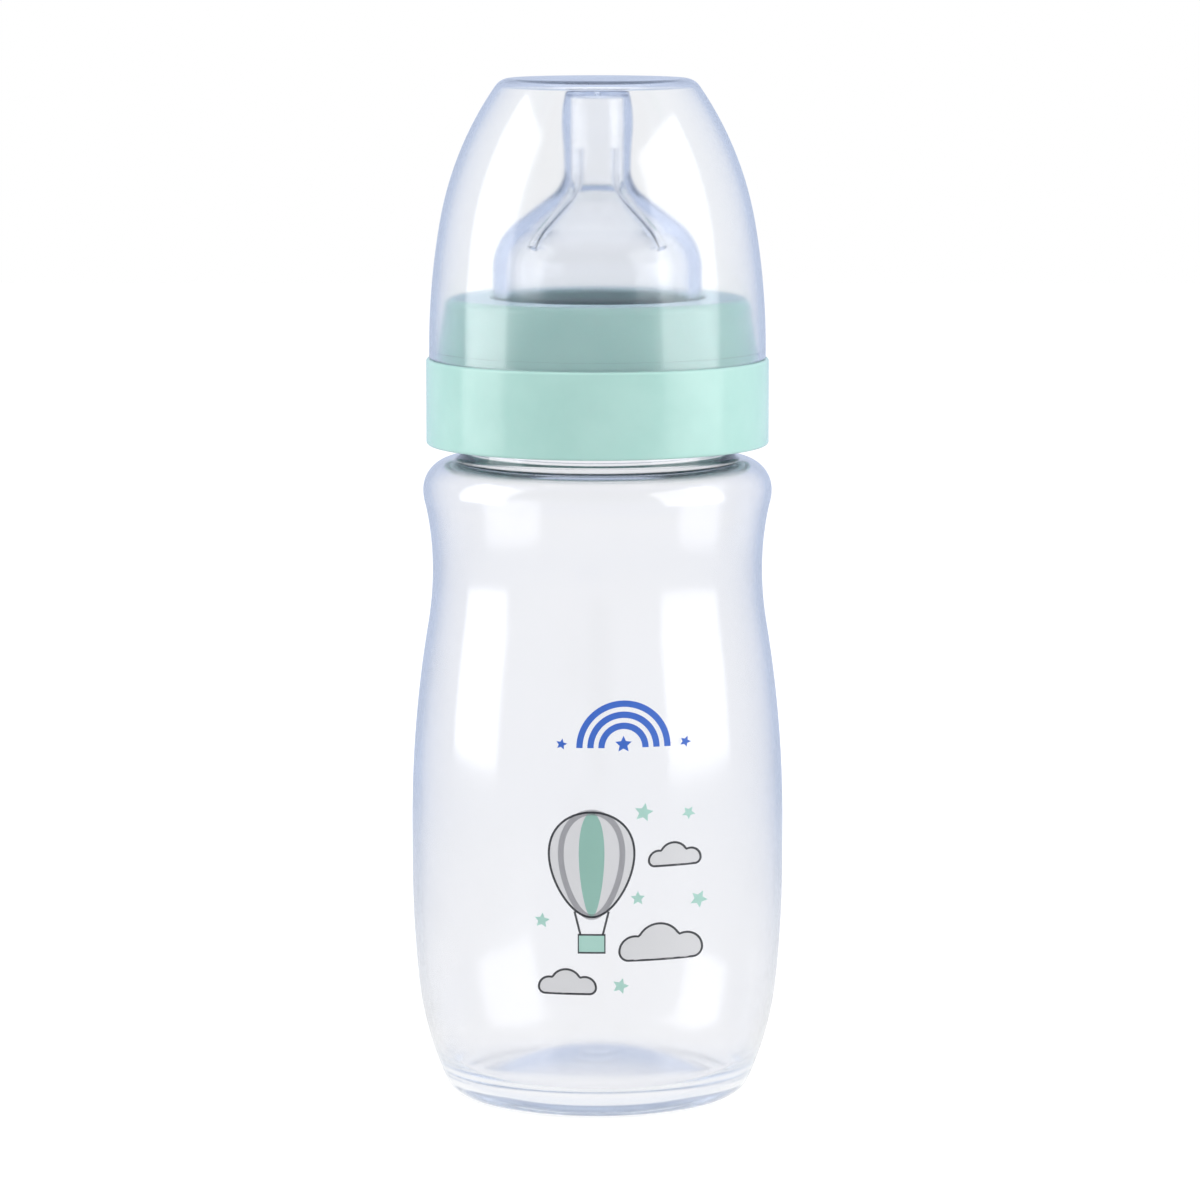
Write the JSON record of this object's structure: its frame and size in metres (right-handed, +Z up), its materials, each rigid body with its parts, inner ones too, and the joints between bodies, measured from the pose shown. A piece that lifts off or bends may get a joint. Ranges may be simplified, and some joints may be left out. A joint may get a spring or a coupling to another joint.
{
  "type": "baby bottle",
  "caption": "Wide-necked feeding bottle with a waisted clear body, silicone teat, mint screw ring and clear dome cap",
  "frame": {"origin": "middle of the foot ring, on the surface that the bottle stands on", "axes": "+Z up along the bottle's axis, -Y towards the printed front"},
  "size_m": [0.0662, 0.0662, 0.1807],
  "materials": {
    "bottle_clear_pp": "clear blown polypropylene, smooth",
    "teat_silicone": "clear moulded silicone",
    "ring_mint_pp": "mint moulded polypropylene, glossy",
    "cap_clear_pp": "clear moulded polypropylene, polished"
  },
  "bodies": {
    "bottle": {"bottle": "bottle_clear_pp"},
    "teat": {"teat": "teat_silicone"},
    "screw_ring": {"screw_ring": "ring_mint_pp"},
    "cap": {"cap": "cap_clear_pp"}
  },
  "joints": [
    {"name": "teat_lift", "type": "slide", "parent": "bottle", "child": "teat", "axis": [0, 0, 1], "range_m": [0, 0.0226]},
    {"name": "ring_turn", "type": "hinge", "parent": "teat", "child": "screw_ring", "pos_m": [0, 0, 0.129], "axis": [0, 0, 1], "range_deg": [0, 1350]},
    {"name": "cap_lift", "type": "slide", "parent": "screw_ring", "child": "cap", "axis": [0, 0, 1], "range_m": [0, 0.06]}
  ],
  "couplings": [
    {"joint": "teat_lift", "follows": "ring_turn", "m_per_rad": 0.00095493}
  ]
}
